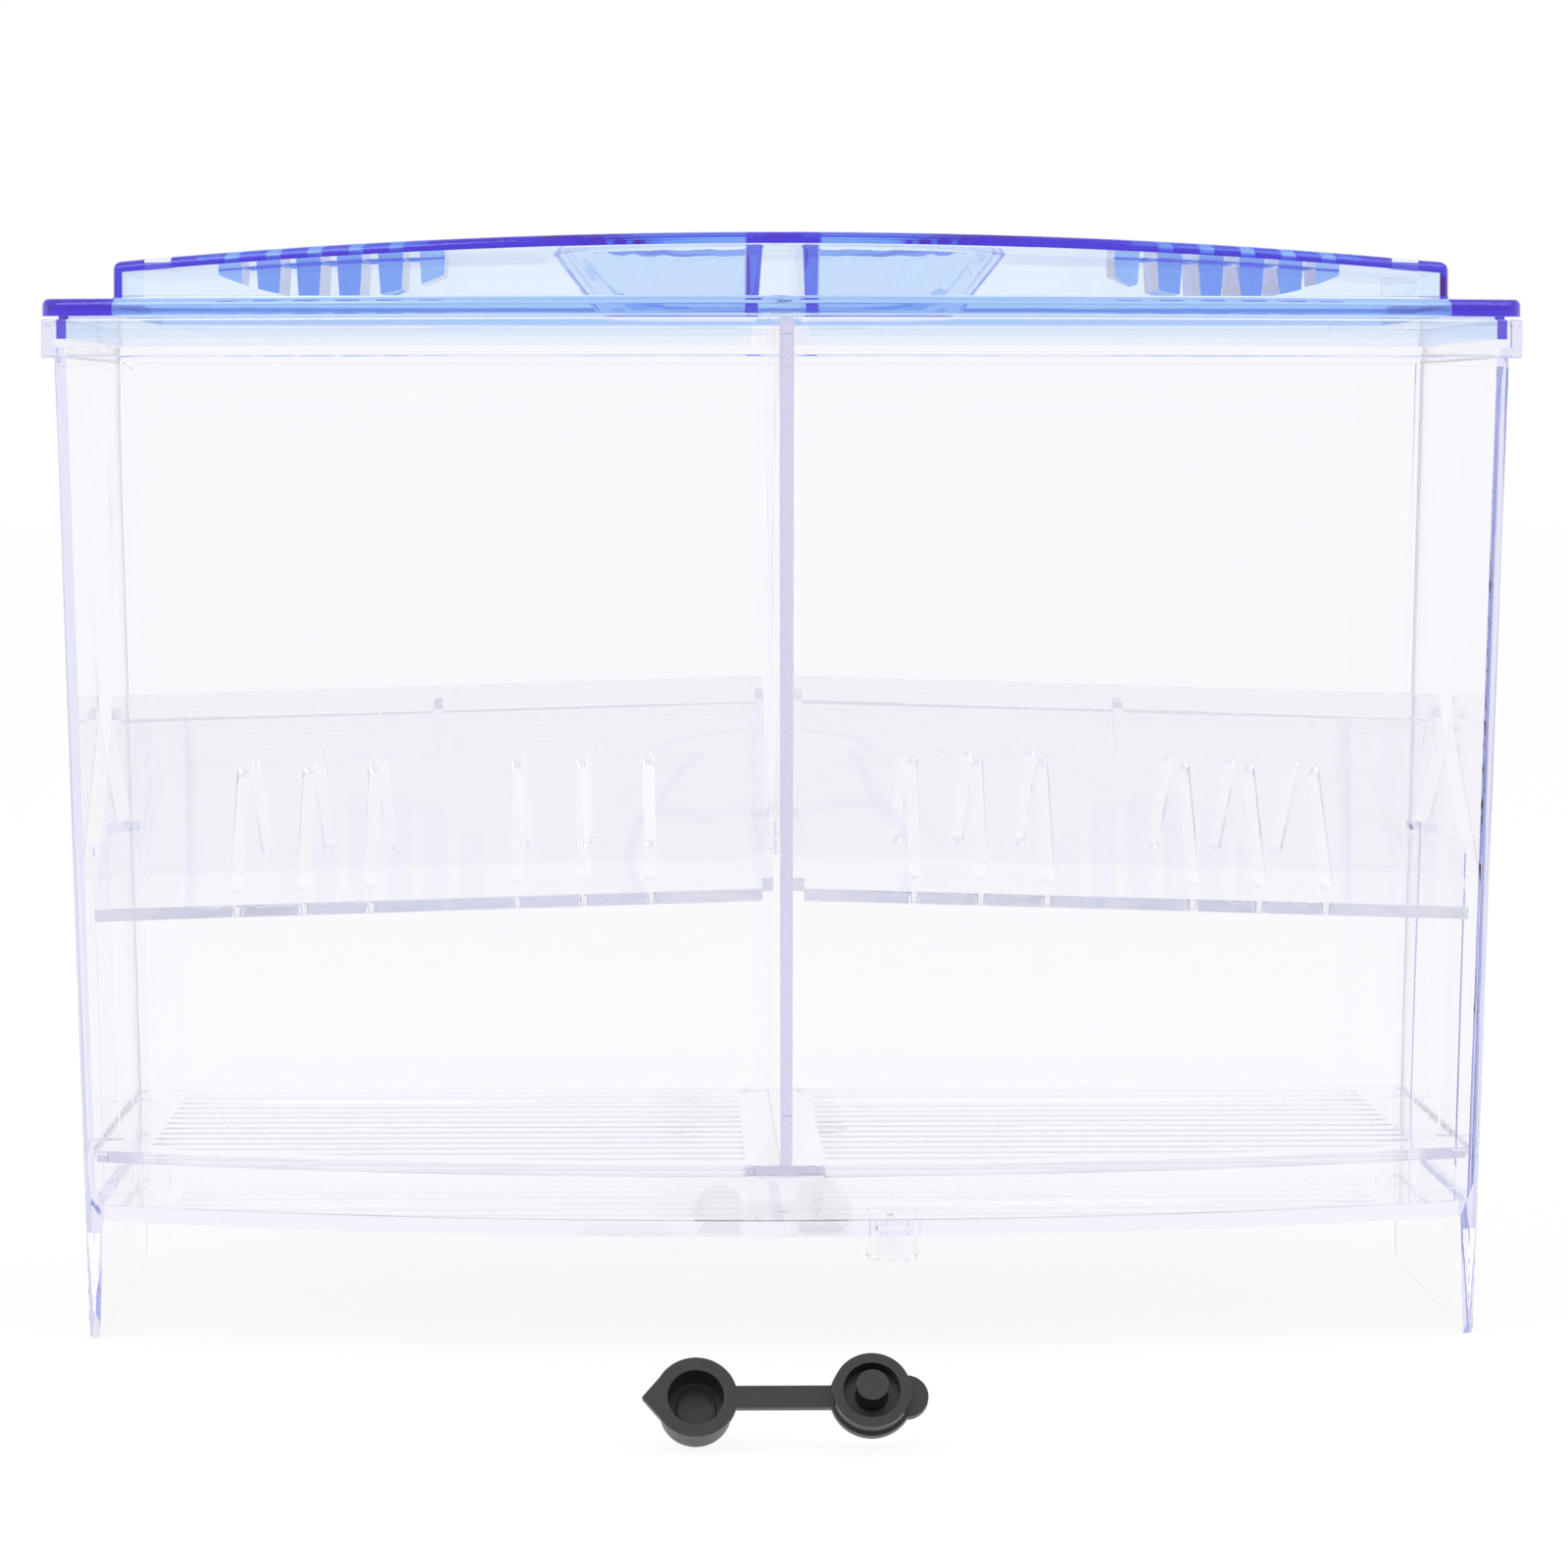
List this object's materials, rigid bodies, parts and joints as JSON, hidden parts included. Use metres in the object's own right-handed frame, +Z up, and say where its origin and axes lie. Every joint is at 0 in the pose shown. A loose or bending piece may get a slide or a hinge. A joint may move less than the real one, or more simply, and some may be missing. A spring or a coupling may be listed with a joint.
{
  "type": "fish breeding box",
  "caption": "Clear bow-fronted fish breeding box with a central divider, sloping slotted plates, a floor grille, a blue domed lid and a rubber drain plug.",
  "frame": {"origin": "on the table, under the middle of everything, the loose drain plug in front included", "axes": "+X to the right across the width, +Y from the bowed front to the flat back, +Z up"},
  "size_m": [0.2044, 0.1708, 0.1533],
  "materials": {
    "clear_acrylic": "clear gloss",
    "blue_lid": "clear blue gloss",
    "black_rubber": "satin"
  },
  "bodies": {
    "tank": {"tank": "clear_acrylic"},
    "grille": {"grille": "clear_acrylic"},
    "divider": {"divider": "clear_acrylic"},
    "lid": {"lid": "blue_lid"},
    "plate_front_left": {"plate_front_left": "clear_acrylic"},
    "plate_rear_left": {"plate_rear_left": "clear_acrylic"},
    "plate_front_right": {"plate_front_right": "clear_acrylic"},
    "plate_rear_right": {"plate_rear_right": "clear_acrylic"},
    "drain_plug": {"drain_plug": "black_rubber"}
  },
  "joints": [
    {"name": "grille_lift", "type": "slide", "parent": "tank", "child": "grille", "axis": [0, 0, 1], "range_m": [0, 0.1]},
    {"name": "divider_lift", "type": "slide", "parent": "grille", "child": "divider", "axis": [0, 0, 1], "range_m": [0, 0.08]},
    {"name": "lid_lift", "type": "slide", "parent": "divider", "child": "lid", "axis": [0, 0, 1], "range_m": [0, 0.06]},
    {"name": "plate_front_left_lift", "type": "slide", "parent": "divider", "child": "plate_front_left", "axis": [0, 0, 1], "range_m": [0, 0.03]},
    {"name": "plate_rear_left_lift", "type": "slide", "parent": "divider", "child": "plate_rear_left", "axis": [0, 0, 1], "range_m": [0, 0.03]},
    {"name": "plate_front_right_lift", "type": "slide", "parent": "divider", "child": "plate_front_right", "axis": [0, 0, 1], "range_m": [0, 0.03]},
    {"name": "plate_rear_right_lift", "type": "slide", "parent": "divider", "child": "plate_rear_right", "axis": [0, 0, 1], "range_m": [0, 0.03]},
    {"name": "drain_plug_lift", "type": "slide", "parent": "tank", "child": "drain_plug", "axis": [0, 0, 1], "range_m": [0, 0.03]}
  ]
}
